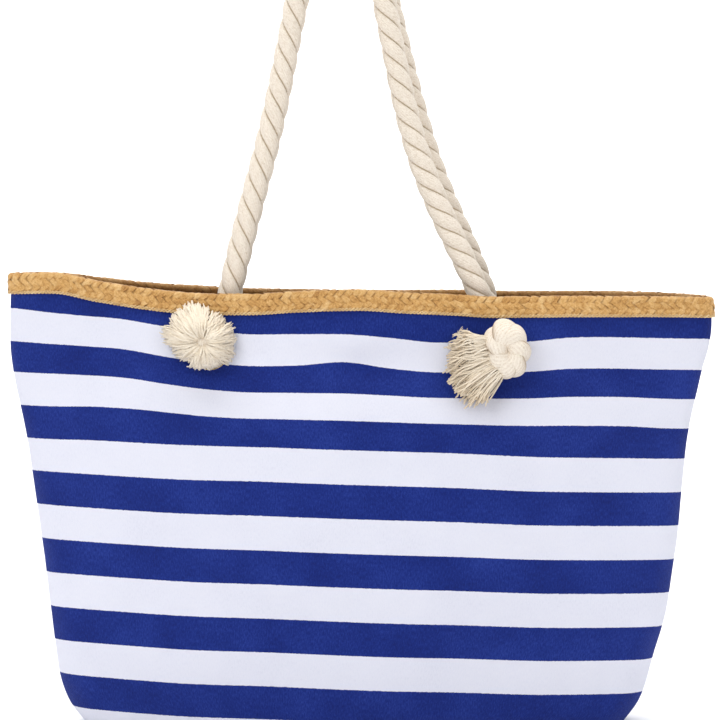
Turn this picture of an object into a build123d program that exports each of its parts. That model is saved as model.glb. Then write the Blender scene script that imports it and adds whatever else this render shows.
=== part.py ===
"""Striped canvas beach bag with a plaited straw rim and two rope handles.

Units are millimetres.  The origin is on the floor under the middle of the bag, +Z is up,
+X runs along the mouth and the front of the bag faces -Y.  The handles stand up, leaning
towards each other, and each swings out over its own side of the rim.
"""

import os
from math import radians, sqrt, tan, pi

from build123d import *

os.makedirs("parts", exist_ok=True)

# ---------------------------------------------------------------- driving dimensions
RIM_HEIGHT = 352.0
EYELET_HEIGHT = 303.0
EYELET_SPREAD = 115.5  # from the middle of the bag to each eyelet

CANVAS = 1.6  # cloth thicknesses
LINING = 1.0
BRAID = 2.2
BRAID_BAND = 17.5  # how far the braid reaches down each face of the rim

# The outside of the canvas: height, half width, half depth and end radius at each level.
BAG_LEVELS = [
    (0.0, 213.0, 66.0, 38.0),
    (20.0, 227.5, 73.0, 40.0),
    (64.0, 239.0, 79.0, 38.0),
    (140.0, 251.0, 83.0, 32.0),
    (220.0, 262.0, 80.0, 24.0),
    (EYELET_HEIGHT, 274.0, 61.5, 13.0),
    (RIM_HEIGHT, 272.5, 50.0, 9.0),
]

ROPE = 19.0  # diameter of the handle rope
HANDLE_GAP = 0.4  # air between the swinging handle and the rope fixed below the rim
REAR_LEAN = 8.0  # how far the rear handle's right leg stands outside the front one's

EYELET_BORE = ROPE / 2 + 0.7
EYELET_BARREL = EYELET_BORE + 1.0
EYELET_FLANGE = 14.5
EYELET_SHEET = 1.0
EYELET_STAND_OFF = 0.3  # the flat flange clears the curved cloth by this much
HOLE_CLEARANCE = 0.1

KNOT_HALF = (18.0, 24.0, 19.0)  # across, up and out of the cloth
TASSEL_LENGTH = 40.0
TASSEL_TIP = 20.0
POMPOM_HALF = (30.0, 26.0)
POMPOM_DEPTH = 17.0

POCKET_WIDTH = 190.0
POCKET_TOP = 292.0
POCKET_BOTTOM = 150.0
POCKET_CLOTH = 1.0

SNAP_HEIGHT = 316.0
SNAP_RADIUS = 9.0
SNAP_DEPTH = 2.6
SNAP_PIN = 2.5

WALL_TOP = RIM_HEIGHT - BRAID
WALL = CANVAS + LINING
FAR = 400.0  # further than any part of the bag


# ---------------------------------------------------------------- shared shapes
def bag_section(level, inset):
    """A closed oval of four tangent arcs, moved inwards by inset."""
    height, half_width, half_depth, end_radius = level
    half_width -= inset
    half_depth -= inset
    end_radius -= inset
    reach = half_width - end_radius
    side_radius = (reach**2 / (half_depth - end_radius) + end_radius + half_depth) / 2
    join_x = reach * side_radius / (side_radius - end_radius)
    join_y = (side_radius - half_depth) * end_radius / (side_radius - end_radius)
    with BuildSketch(Plane.XY.offset(height)) as section:
        with BuildLine():
            ThreePointArc((-join_x, -join_y), (0, -half_depth), (join_x, -join_y))
            ThreePointArc((join_x, -join_y), (half_width, 0), (join_x, join_y))
            ThreePointArc((join_x, join_y), (0, half_depth), (-join_x, join_y))
            ThreePointArc((-join_x, join_y), (-half_width, 0), (-join_x, -join_y))
        make_face()
    return section.sketch


def bag_form(inset):
    """The bag's whole volume, with its sides moved inwards by inset."""
    with BuildPart() as form:
        loft([bag_section(level, inset) for level in BAG_LEVELS])
    return form.part


def save(part, name):
    part.label = name
    export_step(part, f"parts/{name}.step")


def mirrored(plane):
    """The same plane on the other side of the bag."""
    origin = plane.origin
    out = plane.z_dir
    return Plane((origin.X, -origin.Y, origin.Z), (1, 0, 0), (out.X, -out.Y, out.Z))


def wall_plane(form, x, height, outward):
    """A plane on the front wall of a form, with its normal along or against the wall's."""
    ray = Axis((x, -FAR, height), (0, 1, 0))
    point, normal = form.find_intersection_points(ray)[0]
    if normal.Y > 0:
        normal = -normal
    return Plane(point, (1, 0, 0), normal if outward else -normal)


canvas_outside = bag_form(0)
canvas_inside = bag_form(CANVAS)
lining_inside = bag_form(WALL)
braid_outside = bag_form(-BRAID)
braid_inside = bag_form(WALL + BRAID)

# The front is the side that Plane.XZ's normal points to.
SIDES = {"front": Keep.TOP, "rear": Keep.BOTTOM}
HANDS = {"left": -1, "right": 1}

eyelet_planes = {}
for hand, sign in HANDS.items():
    front_plane = wall_plane(canvas_outside, sign * EYELET_SPREAD, EYELET_HEIGHT, True)
    eyelet_planes["front", hand] = front_plane
    eyelet_planes["rear", hand] = mirrored(front_plane)


# ---------------------------------------------------------------- canvas and lining
with BuildPart() as canvas_wall:
    add(canvas_outside)
    add(canvas_inside, mode=Mode.SUBTRACT)
    split(bisect_by=Plane.XY.offset(WALL_TOP), keep=Keep.BOTTOM)
    for plane in eyelet_planes.values():
        with Locations(plane):
            Cylinder(EYELET_BARREL + HOLE_CLEARANCE, ROPE, mode=Mode.SUBTRACT)

with BuildPart() as lining_wall:
    add(canvas_inside)
    add(lining_inside, mode=Mode.SUBTRACT)
    split(bisect_by=Plane.XY.offset(WALL_TOP), keep=Keep.BOTTOM)
    split(bisect_by=Plane.XY.offset(CANVAS), keep=Keep.TOP)
    for plane in eyelet_planes.values():
        with Locations(plane):
            Cylinder(EYELET_BARREL + HOLE_CLEARANCE, ROPE, mode=Mode.SUBTRACT)

for side, keep in SIDES.items():
    with BuildPart() as panel:
        add(canvas_wall.part)
        split(bisect_by=Plane.XZ, keep=keep)
    save(panel.part, f"{side}_panel")
    with BuildPart() as lining:
        add(lining_wall.part)
        split(bisect_by=Plane.XZ, keep=keep)
    save(lining.part, f"{side}_lining")

with BuildPart() as base_panel:
    add(canvas_inside)
    split(bisect_by=Plane.XY.offset(CANVAS), keep=Keep.BOTTOM)
save(base_panel.part, "base_panel")

with BuildPart() as base_lining:
    add(lining_inside)
    split(bisect_by=Plane.XY.offset(CANVAS), keep=Keep.TOP)
    split(bisect_by=Plane.XY.offset(WALL), keep=Keep.BOTTOM)
save(base_lining.part, "base_lining")

# A flat slip pocket, sewn to the rear lining on three sides.
with BuildPart() as inner_pocket:
    add(lining_inside)
    add(bag_form(WALL + POCKET_CLOTH), mode=Mode.SUBTRACT)
    pocket_middle = (POCKET_TOP + POCKET_BOTTOM) / 2
    with Locations((0, FAR / 2, pocket_middle)):
        Box(POCKET_WIDTH, FAR, POCKET_TOP - POCKET_BOTTOM, mode=Mode.INTERSECT)
save(inner_pocket.part, "inner_pocket")


# ---------------------------------------------------------------- plaited rim
with BuildPart() as rim_braid:
    add(braid_outside)
    add(braid_inside, mode=Mode.SUBTRACT)
    split(bisect_by=Plane.XY.offset(RIM_HEIGHT - BRAID_BAND), keep=Keep.TOP)
    add(canvas_wall.part, mode=Mode.SUBTRACT)
    add(lining_wall.part, mode=Mode.SUBTRACT)

for side, keep in SIDES.items():
    with BuildPart() as braid:
        add(rim_braid.part)
        split(bisect_by=Plane.XZ, keep=keep)
    save(braid.part, f"{side}_rim_braid")


# ---------------------------------------------------------------- eyelets
for (side, hand), plane in eyelet_planes.items():
    front_face = plane.offset(EYELET_STAND_OFF)
    rear_face = plane.offset(-WALL - EYELET_STAND_OFF - EYELET_SHEET)
    with BuildPart() as eyelet:
        with BuildSketch(front_face):
            Circle(EYELET_FLANGE)
        extrude(amount=EYELET_SHEET)
        fillet(eyelet.edges().group_by(SortBy.LENGTH)[-1], EYELET_SHEET * 0.4)
        with BuildSketch(rear_face):
            Circle(EYELET_BARREL)
        extrude(amount=EYELET_SHEET + WALL + 2 * EYELET_STAND_OFF)
        with BuildSketch(rear_face):
            Circle(EYELET_BORE)
        extrude(amount=ROPE, mode=Mode.SUBTRACT)
    save(eyelet.part, f"{side}_{hand}_eyelet")

    with BuildPart() as washer:
        with BuildSketch(rear_face):
            Circle(EYELET_FLANGE)
            Circle(EYELET_BARREL, mode=Mode.SUBTRACT)
        extrude(amount=EYELET_SHEET)
    save(washer.part, f"{side}_{hand}_eyelet_washer")


# ---------------------------------------------------------------- rope handles
def rope_route(side):
    """A handle's centre line, from the knot at its left to the knot at its right."""
    left = eyelet_planes[side, "left"]
    right = eyelet_planes[side, "right"]
    mirror_y = 1 if side == "front" else -1
    lean = 0 if side == "front" else REAR_LEAN
    above_the_eyelets = [
        (-107.5, -24.5, 313.0),
        (-101.5, -28.6, 350.0),
        (-86.0, -24.1, 412.0),
        (-69.5, -20.0, 472.0),
        (-53.5, -14.2, 552.0),
        (-46.0, -11.4, 591.0),
        (-34.2, -10.2, 607.4),
        (-15.0, -9.8, 613.6),
        (4.2, -10.2, 607.4),
        (16.0 + lean * 0.25, -11.4, 591.0),
        (22.5 + lean * 0.6, -14.2, 552.0),
        (36.5 + lean, -19.2, 482.0),
        (54.0 + lean, -23.1, 427.0),
        (92.0 + lean * 0.8, -28.3, 350.0),
        (105.5, -24.5, 313.0),
    ]
    return [
        left.origin + left.z_dir * 4,
        left.origin - left.z_dir * 12,
        *[(x, y * mirror_y, z) for x, y, z in above_the_eyelets],
        right.origin - right.z_dir * 12,
        right.origin + right.z_dir * 4,
    ]


def corner_radii(points):
    """One radius for each corner: as large as its two runs allow."""
    radii = []
    for before, here, after in zip(points, points[1:], points[2:]):
        run_in = Vector(here) - Vector(before)
        run_out = Vector(after) - Vector(here)
        turn = run_in.get_angle(run_out)
        shorter = min(run_in.length, run_out.length)
        radii.append(0.45 * shorter / tan(radians(turn) / 2))
    return radii


def rope_solid(side):
    """The whole rope of one handle, swept along its route."""
    route = rope_route(side)
    radii = corner_radii(route)
    with BuildPart() as rope:
        with BuildLine() as rope_line:
            FilletPolyline(route, radius=radii)
        rope_wire = rope_line.wire()
        with BuildSketch(Plane(rope_wire @ 0, z_dir=rope_wire % 0)):
            Circle(ROPE / 2)
        sweep(path=rope_wire)
    swept_volume = pi * ROPE**2 / 4 * rope_wire.length
    print(side, "rope corner radii", [round(radius, 1) for radius in radii])
    print(side, "rope length", round(rope_wire.length, 1))
    print(side, "rope volume over section times length", round(rope.part.volume / swept_volume, 4))
    return rope.part


ropes = {side: rope_solid(side) for side in SIDES}
for side, rope in ropes.items():
    with BuildPart() as handle:
        add(rope)
        split(bisect_by=Plane.XY.offset(RIM_HEIGHT + HANDLE_GAP), keep=Keep.TOP)
    save(handle.part, f"{side}_handle")

    for hand, leg_keep in (("left", Keep.BOTTOM), ("right", Keep.TOP)):
        with BuildPart() as leg:
            add(rope)
            split(bisect_by=Plane.XY.offset(RIM_HEIGHT), keep=Keep.BOTTOM)
            split(bisect_by=Plane.YZ, keep=leg_keep)
        save(leg.part, f"{side}_{hand}_rope_leg")


# ---------------------------------------------------------------- knots and frayed ends
def ellipsoid(plane, half_sizes, middle):
    """An ellipsoid whose half sizes lie along the plane's axes, middle out along its normal."""
    with BuildPart(mode=Mode.PRIVATE) as ball:
        Sphere(1)
    stretched = scale(ball.part, by=half_sizes, mode=Mode.PRIVATE)
    return plane.offset(middle) * stretched


def knot_solid(plane):
    """An overhand knot's outer shape, flat where it bears on the eyelet."""
    bearing = EYELET_STAND_OFF + EYELET_SHEET + 0.1
    with BuildPart() as knot:
        add(ellipsoid(plane, KNOT_HALF, bearing + KNOT_HALF[2] * 0.8))
        split(bisect_by=plane.offset(bearing), keep=Keep.TOP)
        with Locations(plane):
            Cylinder(ROPE / 2, ROPE, mode=Mode.SUBTRACT)
    return knot.part


def pompom_solid(plane, knot):
    """Yarns frayed into a round puff in front of the knot."""
    with BuildPart() as pompom:
        add(ellipsoid(plane, (*POMPOM_HALF, POMPOM_DEPTH), KNOT_HALF[2] * 2))
        add(knot, mode=Mode.SUBTRACT)
    return pompom.part


def tassel_solid(plane, knot):
    """Yarns frayed into a fan that hangs down and inwards from the knot."""
    aim = Vector(-0.76, -0.3, -0.64).normalized()
    start = plane.origin + plane.z_dir * KNOT_HALF[2] * 1.25 + aim * 6
    with BuildPart() as tassel:
        with BuildSketch(Plane(start, z_dir=aim)):
            Circle(TASSEL_TIP * 0.3)
        with BuildSketch(Plane(start + aim * TASSEL_LENGTH, z_dir=aim)):
            Circle(TASSEL_TIP)
        with BuildSketch(Plane(start + aim * (TASSEL_LENGTH + 12), z_dir=aim)):
            Circle(TASSEL_TIP * 0.8)
        loft(ruled=True)
        add(knot, mode=Mode.SUBTRACT)
    return tassel.part


front_knots = {hand: knot_solid(eyelet_planes["front", hand]) for hand in HANDS}
front_ends = {
    "left": pompom_solid(eyelet_planes["front", "left"], front_knots["left"]),
    "right": tassel_solid(eyelet_planes["front", "right"], front_knots["right"]),
}
for hand in HANDS:
    save(front_knots[hand], f"front_{hand}_knot")
    save(front_ends[hand], f"front_{hand}_tassel")
    with BuildPart() as rear_knot:
        mirror(front_knots[hand], about=Plane.XZ)
    save(rear_knot.part, f"rear_{hand}_knot")
    with BuildPart() as rear_end:
        mirror(front_ends[hand], about=Plane.XZ)
    save(rear_end.part, f"rear_{hand}_tassel")


# ---------------------------------------------------------------- magnetic snap
front_snap_plane = wall_plane(lining_inside, 0, SNAP_HEIGHT, False)
snap_planes = {
    "front": front_snap_plane.offset(EYELET_STAND_OFF),
    "rear": mirrored(front_snap_plane).offset(EYELET_STAND_OFF),
}

with BuildPart(snap_planes["front"]) as snap_socket:
    with BuildSketch(snap_planes["front"]):
        Circle(SNAP_RADIUS)
    extrude(amount=SNAP_DEPTH)
    with BuildSketch(snap_planes["front"].offset(SNAP_DEPTH)):
        Circle(SNAP_PIN + HOLE_CLEARANCE)
    extrude(amount=-SNAP_DEPTH * 0.6, mode=Mode.SUBTRACT)
    fillet(snap_socket.edges().group_by(SortBy.LENGTH)[-1], SNAP_DEPTH * 0.2)
save(snap_socket.part, "snap_socket")

with BuildPart(snap_planes["rear"]) as snap_stud:
    with BuildSketch(snap_planes["rear"]):
        Circle(SNAP_RADIUS)
    extrude(amount=SNAP_DEPTH * 0.6)
    fillet(snap_stud.edges().group_by(SortBy.LENGTH)[-1], SNAP_DEPTH * 0.2)
    with BuildSketch(snap_planes["rear"].offset(SNAP_DEPTH * 0.6)):
        Circle(SNAP_PIN)
    extrude(amount=SNAP_DEPTH * 0.5)
save(snap_stud.part, "snap_stud")
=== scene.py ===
"""The looks of a striped canvas beach bag with a plaited rim and two knotted rope handles.

Everything is in metres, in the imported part's frame: the bag stands on z = 0, its mouth runs
along X and its front faces -Y.
"""

import bpy
import numpy as np
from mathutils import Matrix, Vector


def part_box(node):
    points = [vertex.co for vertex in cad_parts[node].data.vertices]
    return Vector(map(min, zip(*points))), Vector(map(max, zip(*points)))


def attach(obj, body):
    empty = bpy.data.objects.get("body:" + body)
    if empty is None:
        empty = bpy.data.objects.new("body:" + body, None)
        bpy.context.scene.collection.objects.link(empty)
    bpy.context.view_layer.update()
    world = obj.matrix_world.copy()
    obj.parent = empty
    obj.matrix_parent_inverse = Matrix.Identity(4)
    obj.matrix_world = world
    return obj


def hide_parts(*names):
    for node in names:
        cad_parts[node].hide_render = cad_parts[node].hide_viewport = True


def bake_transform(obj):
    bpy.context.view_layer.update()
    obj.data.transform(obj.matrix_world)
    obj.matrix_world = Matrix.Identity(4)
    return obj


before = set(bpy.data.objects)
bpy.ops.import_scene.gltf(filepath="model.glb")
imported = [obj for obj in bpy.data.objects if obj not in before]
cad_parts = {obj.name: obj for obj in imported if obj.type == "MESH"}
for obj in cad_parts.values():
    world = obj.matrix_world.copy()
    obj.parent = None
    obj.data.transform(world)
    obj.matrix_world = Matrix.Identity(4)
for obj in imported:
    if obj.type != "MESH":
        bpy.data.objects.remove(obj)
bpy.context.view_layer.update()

MM = 0.001
SIDES = {"front": -1.0, "rear": 1.0}
HANDS = {"left": -1.0, "right": 1.0}

# -------------------- sizes read from the frame
BRAID_LOW, BRAID_HIGH = (np.array(corner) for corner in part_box("front_rim_braid"))
BAND = float(BRAID_HIGH[2] - BRAID_LOW[2])

CANVAS = 1.6 * MM
WALL = 2.6 * MM
ROPE = 19.0 * MM

# Places on the walls, in millimetres: walls and knots are worked out in these.
MOUTH_HEIGHT = 352.0
EYELET_X = 115.5
EYELET_HEIGHT = 303.0
SNAP_HEIGHT = 316.0


# -------------------- small tools
def curve_through(xs, ys, x):
    """A smooth curve through a few points, without overshoot between them."""
    xs = np.asarray(xs, float)
    ys = np.asarray(ys, float)
    steps = np.diff(ys) / np.diff(xs)
    slopes = np.concatenate([[steps[0]], (steps[1:] + steps[:-1]) / 2, [steps[-1]]])
    turns = steps[1:] * steps[:-1] <= 0
    slopes[1:-1][turns] = 0
    x = np.clip(x, xs[0], xs[-1])
    i = np.clip(np.searchsorted(xs, x) - 1, 0, len(xs) - 2)
    width = xs[i + 1] - xs[i]
    t = (x - xs[i]) / width
    return (
        (2 * t**3 - 3 * t**2 + 1) * ys[i]
        + (t**3 - 2 * t**2 + t) * width * slopes[i]
        + (3 * t**2 - 2 * t**3) * ys[i + 1]
        + (t**3 - t**2) * width * slopes[i + 1]
    )


def smoothstep(low, high, x):
    t = np.clip((np.asarray(x, float) - low) / (high - low), 0, 1)
    return t * t * (3 - 2 * t)


def hump(centre, width, x):
    return np.exp(-(((np.asarray(x, float) - centre) / width) ** 2))


def make_object(name, points, faces, uvs=None, material=None):
    """A smooth-shaded mesh object; uvs hold one pair for each vertex."""
    mesh = bpy.data.meshes.new(name)
    mesh.from_pydata(np.asarray(points, float).tolist(), [], faces)
    mesh.polygons.foreach_set("use_smooth", [True] * len(mesh.polygons))
    if uvs is not None:
        corners = np.empty(len(mesh.loops), int)
        mesh.loops.foreach_get("vertex_index", corners)
        layer = mesh.uv_layers.new(name="UVMap")
        layer.data.foreach_set("uv", np.asarray(uvs, float)[corners].ravel())
    mesh.update()
    thing = bpy.data.objects.new(name, mesh)
    bpy.context.scene.collection.objects.link(thing)
    if material is not None:
        mesh.materials.append(material)
    return thing


def grid_faces(rows, columns, first=0, wrap=False, flip=False):
    """Quads of a grid of points stored row after row; wrap closes each row on itself."""
    faces = []
    for row in range(rows - 1):
        for column in range(columns if wrap else columns - 1):
            a = first + row * columns + column
            b = first + row * columns + (column + 1) % columns
            quad = (a, b, b + columns, a + columns)
            faces.append(quad[::-1] if flip else quad)
    return faces


def frames_along(path):
    """Tangents and two normals that turn as little as they can along a path."""
    path = np.asarray(path, float)
    tangents = np.gradient(path, axis=0)
    tangents /= np.linalg.norm(tangents, axis=1)[:, None]
    start = np.array([0.0, 1.0, 0.0]) if abs(tangents[0][1]) < 0.9 else np.array([1.0, 0.0, 0.0])
    normals = np.empty_like(path)
    normal = start - tangents[0] * (start @ tangents[0])
    for i, tangent in enumerate(tangents):
        normal = normal - tangent * (normal @ tangent)
        normal /= np.linalg.norm(normal)
        normals[i] = normal
    return tangents, normals, np.cross(tangents, normals)


def lengths_along(path):
    return np.concatenate([[0], np.cumsum(np.linalg.norm(np.diff(path, axis=0), axis=1))])


class Bundle:
    """Collects many tubes or strips into one mesh."""

    def __init__(self):
        self.points = []
        self.uvs = []
        self.faces = []
        self.count = 0

    def rings(self, rings, uvs, closed=True, caps=True):
        """rings is an array of (along, around, 3)."""
        along, around = rings.shape[:2]
        self.points.append(rings.reshape(-1, 3))
        self.uvs.append(uvs.reshape(-1, 2))
        self.faces += grid_faces(along, around, self.count, wrap=closed)
        if caps:
            last = self.count + (along - 1) * around
            self.faces.append(tuple(range(self.count + around - 1, self.count - 1, -1)))
            self.faces.append(tuple(range(last, last + around)))
        self.count += along * around

    def tube(self, path, radii, sides, seed=0.0, share=False):
        """A round tube along a path; its second UV number is a length, or a share of it."""
        path = np.asarray(path, float)
        _, across, up = frames_along(path)
        angles = np.arange(sides) / sides * 2 * np.pi
        turns = angles[None, :, None]
        circle = across[:, None] * np.cos(turns) + up[:, None] * np.sin(turns)
        rings = path[:, None] + circle * np.asarray(radii, float)[:, None, None]
        uvs = np.empty((len(path), sides, 2))
        uvs[:, :, 0] = seed + np.abs(angles[None] / np.pi - 1) * 0.98
        along = lengths_along(path)
        uvs[:, :, 1] = (along / along[-1] if share else along)[:, None]
        self.rings(rings, uvs)

    def build(self, name, material):
        return make_object(name, np.concatenate(self.points), self.faces, np.concatenate(self.uvs), material)


# -------------------- materials
class Shader:
    """A Principled material and short ways to add nodes to it."""

    def __init__(self, name, roughness, sheen=0.0, metallic=0.0):
        self.material = bpy.data.materials.new(name)
        self.material.use_nodes = True
        self.tree = self.material.node_tree
        self.main = self.tree.nodes["Principled BSDF"]
        self.main.inputs["Roughness"].default_value = roughness
        self.main.inputs["Metallic"].default_value = metallic
        self.main.inputs["Sheen Weight"].default_value = sheen
        self.main.inputs["Specular IOR Level"].default_value = 0.5 if metallic else 0.15

    def node(self, kind, **values):
        made = self.tree.nodes.new(kind)
        for key, value in values.items():
            setattr(made, key, value)
        return made

    def wire(self, value, socket):
        if isinstance(value, bpy.types.NodeSocket):
            self.tree.links.new(value, socket)
        else:
            socket.default_value = value

    def maths(self, operation, a, b=0.0, c=0.0):
        made = self.node("ShaderNodeMath", operation=operation)
        for value, socket in zip((a, b, c), made.inputs):
            self.wire(value, socket)
        return made.outputs[0]

    def uv(self):
        split = self.node("ShaderNodeSeparateXYZ")
        self.tree.links.new(self.node("ShaderNodeUVMap", uv_map="UVMap").outputs[0], split.inputs[0])
        return split.outputs[0], split.outputs[1]

    def vector(self, x, y, z=0.0):
        made = self.node("ShaderNodeCombineXYZ")
        for value, socket in zip((x, y, z), made.inputs):
            self.wire(value, socket)
        return made.outputs[0]

    def place(self):
        return self.node("ShaderNodeTexCoord").outputs["Object"]

    def noise(self, vector, scale, detail=3.0, roughness=0.55):
        made = self.node("ShaderNodeTexNoise")
        self.wire(vector, made.inputs["Vector"])
        made.inputs["Scale"].default_value = scale
        made.inputs["Detail"].default_value = detail
        made.inputs["Roughness"].default_value = roughness
        return made.outputs["Fac"]

    def ramp(self, factor, *stops):
        made = self.node("ShaderNodeValToRGB")
        elements = made.color_ramp.elements
        while len(elements) < len(stops):
            elements.new(0.5)
        for element, (position, colour) in zip(elements, stops):
            element.position = position
            element.color = (*colour, 1)
        self.wire(factor, made.inputs[0])
        return made.outputs[0]

    def mix(self, factor, a, b, blend="MIX"):
        made = self.node("ShaderNodeMix", data_type="RGBA", blend_type=blend)
        self.wire(factor, made.inputs["Factor"])
        for value, socket in ((a, made.inputs[6]), (b, made.inputs[7])):
            self.wire(value if isinstance(value, bpy.types.NodeSocket) else (*value, 1), socket)
        return made.outputs[2]

    def colour(self, socket):
        self.tree.links.new(socket, self.main.inputs["Base Color"])

    def bump(self, height, strength, distance):
        made = self.node("ShaderNodeBump")
        made.inputs["Strength"].default_value = strength
        made.inputs["Distance"].default_value = distance
        self.wire(height, made.inputs["Height"])
        self.tree.links.new(made.outputs[0], self.main.inputs["Normal"])


STRIPE_PERIOD = 53.5 * MM
STRIPE_BLUE = 26.6 * MM
STRIPE_START = 13.1 * MM  # cloth between the base seam and the lowest blue band
THREAD = 0.62 * MM  # pitch of the canvas' threads
YARN_PITCH = 2.1 * MM  # pitch of the yarns on a strand of rope

NAVY = (0.0085, 0.0245, 0.203)
NAVY_DARK = (0.006, 0.014, 0.13)
WHITE = (0.81, 0.82, 0.925)
STRAW = (0.62, 0.345, 0.112)
CREAM = (0.785, 0.70, 0.60)


def threads(shader, across, along, pitch):
    """Height of a plain weave: threads one way over threads the other way."""
    turn = 2 * np.pi / pitch
    warp = shader.maths("SINE", shader.maths("MULTIPLY", across, turn))
    weft = shader.maths("SINE", shader.maths("MULTIPLY", along, turn))
    half_warp = shader.maths("SINE", shader.maths("MULTIPLY", across, turn / 2))
    half_weft = shader.maths("SINE", shader.maths("MULTIPLY", along, turn / 2))
    crossing = shader.maths("MULTIPLY", half_warp, half_weft)
    ridges = shader.maths("ADD", shader.maths("ABSOLUTE", warp), shader.maths("ABSOLUTE", weft))
    return shader.maths("MULTIPLY_ADD", crossing, 0.8, ridges)


def canvas_material():
    """Blue and white woven stripes; the second UV number is the height along the cloth."""
    shader = Shader("striped_canvas", 0.9, sheen=0.03)
    across, along = shader.uv()
    wander = shader.noise(shader.vector(shader.maths("MULTIPLY", across, 30.0), along), 14.0, 4.0)
    fray = shader.noise(shader.vector(across, along), 1500.0, 1.0)
    edge = shader.maths("MULTIPLY_ADD", wander, 0.9 * MM, shader.maths("MULTIPLY", fray, 0.7 * MM))
    place = shader.maths("SUBTRACT", shader.maths("ADD", along, edge), STRIPE_START + 0.8 * MM)
    band = shader.maths("FLOORED_MODULO", place, STRIPE_PERIOD)
    is_white = shader.maths("GREATER_THAN", band, STRIPE_BLUE)
    grain = shader.vector(shader.maths("MULTIPLY", across, 950.0), shader.maths("MULTIPLY", along, 330.0))
    slub = shader.noise(grain, 1.0, 4.0, 0.75)
    broad = shader.noise(shader.vector(across, along), 22.0, 3.0)
    tone = shader.maths("MULTIPLY_ADD", slub, 0.75, shader.maths("MULTIPLY", broad, 0.35))
    blue = shader.ramp(tone, (0.36, NAVY_DARK), (0.53, NAVY), (0.74, (0.022, 0.05, 0.31)))
    white = shader.ramp(tone, (0.3, (0.73, 0.74, 0.85)), (0.5, WHITE), (0.8, (0.86, 0.865, 0.95)))
    shader.colour(shader.mix(is_white, blue, white))
    weave = threads(shader, across, along, THREAD)
    height = shader.maths("MULTIPLY_ADD", slub, 2.4, weave)
    shader.bump(height, 0.55, 0.25 * MM)
    return shader.material


def lining_material():
    shader = Shader("cotton_lining", 0.8, sheen=0.1)
    across, along = shader.uv()
    broad = shader.noise(shader.vector(across, along), 30.0, 4.0)
    shader.colour(shader.ramp(broad, (0.3, (0.74, 0.70, 0.62)), (0.7, (0.86, 0.83, 0.76))))
    shader.bump(threads(shader, across, along, 0.45 * MM), 0.4, 0.15 * MM)
    return shader.material


def straw_material(name, dark, middle, light, roughness=0.5):
    """Plaited paper straw: streaks along each strand, every strand its own tone, painted shade
    along the edges of each strand, and painted shade on the face that lies inside the mouth."""
    shader = Shader(name, roughness, sheen=0.05)
    across, along = shader.uv()
    strand = shader.maths("FLOOR", across)
    own_tone = shader.noise(shader.vector(strand, shader.maths("MULTIPLY", along, 30.0)), 1.7, 2.0)
    fibres = shader.vector(shader.maths("MULTIPLY", across, 22.0), shader.maths("MULTIPLY", along, 140.0))
    streaks = shader.noise(fibres, 1.0, 5.0, 0.7)
    specks = shader.noise(shader.place(), 620.0, 4.0, 0.7)
    tone = shader.maths("MULTIPLY_ADD", streaks, 0.42, shader.maths("MULTIPLY", own_tone, 0.40))
    tone = shader.maths("MULTIPLY_ADD", specks, 0.38, tone)
    straw = shader.ramp(tone, (0.44, dark), (0.59, middle), (0.74, light))
    # Painted shade: each strand is darkened along its edges, where it meets its neighbours.
    edge = shader.maths("ABSOLUTE", shader.maths("SUBTRACT", shader.maths("FRACT", across), 0.5))
    edge = shader.maths("POWER", shader.maths("MULTIPLY", edge, 2.1), 7.0)
    straw = shader.mix(edge, straw, (0.62, 0.47, 0.34), "MULTIPLY")
    # Painted shade: the straw darkens towards the inside of the mouth, following the inner attribute.
    inner = shader.node("ShaderNodeAttribute", attribute_name="inner").outputs["Fac"]
    shader.colour(shader.mix(inner, straw, (0.26, 0.19, 0.14), "MULTIPLY"))
    shader.bump(shader.maths("ADD", streaks, specks), 0.8, 0.7 * MM)
    return shader.material


def rope_material():
    """Cotton strands: the first UV number runs round the rope, the second along it."""
    shader = Shader("cotton_rope", 0.88, sheen=0.25)
    around, along = shader.uv()
    slant = shader.maths("MULTIPLY_ADD", around, 9.0 * MM, along)
    across_yarns = shader.maths("MULTIPLY_ADD", along, -0.35, shader.maths("MULTIPLY", around, ROPE))
    yarns = shader.maths("SINE", shader.maths("MULTIPLY", across_yarns, 2 * np.pi / YARN_PITCH))
    grain = shader.vector(shader.maths("MULTIPLY", around, 16.0), shader.maths("MULTIPLY", slant, 420.0))
    fibres = shader.noise(grain, 1.0, 4.0, 0.7)
    fluff = shader.noise(shader.place(), 900.0, 3.0, 0.7)
    tone = shader.maths("MULTIPLY_ADD", fibres, 0.6, shader.maths("MULTIPLY", fluff, 0.4))
    cotton = shader.ramp(tone, (0.34, (0.60, 0.49, 0.36)), (0.5, CREAM), (0.68, (0.90, 0.83, 0.72)))
    # Painted shade: the grooves between the rope's strands are darkened in the colour.
    groove = shader.maths("ABSOLUTE", shader.maths("SUBTRACT", shader.maths("FRACT", around), 0.5))
    from_groove = shader.maths("DIVIDE", shader.maths("SUBTRACT", 0.5, groove), 0.07)
    depth = shader.maths("SMOOTH_MIN", from_groove, 1.0, 0.2)
    shader.colour(shader.mix(depth, (0.40, 0.29, 0.165), cotton))
    height = shader.maths("MULTIPLY_ADD", yarns, 0.35, tone)
    shader.bump(height, 0.6, 0.5 * MM)
    return shader.material


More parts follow.
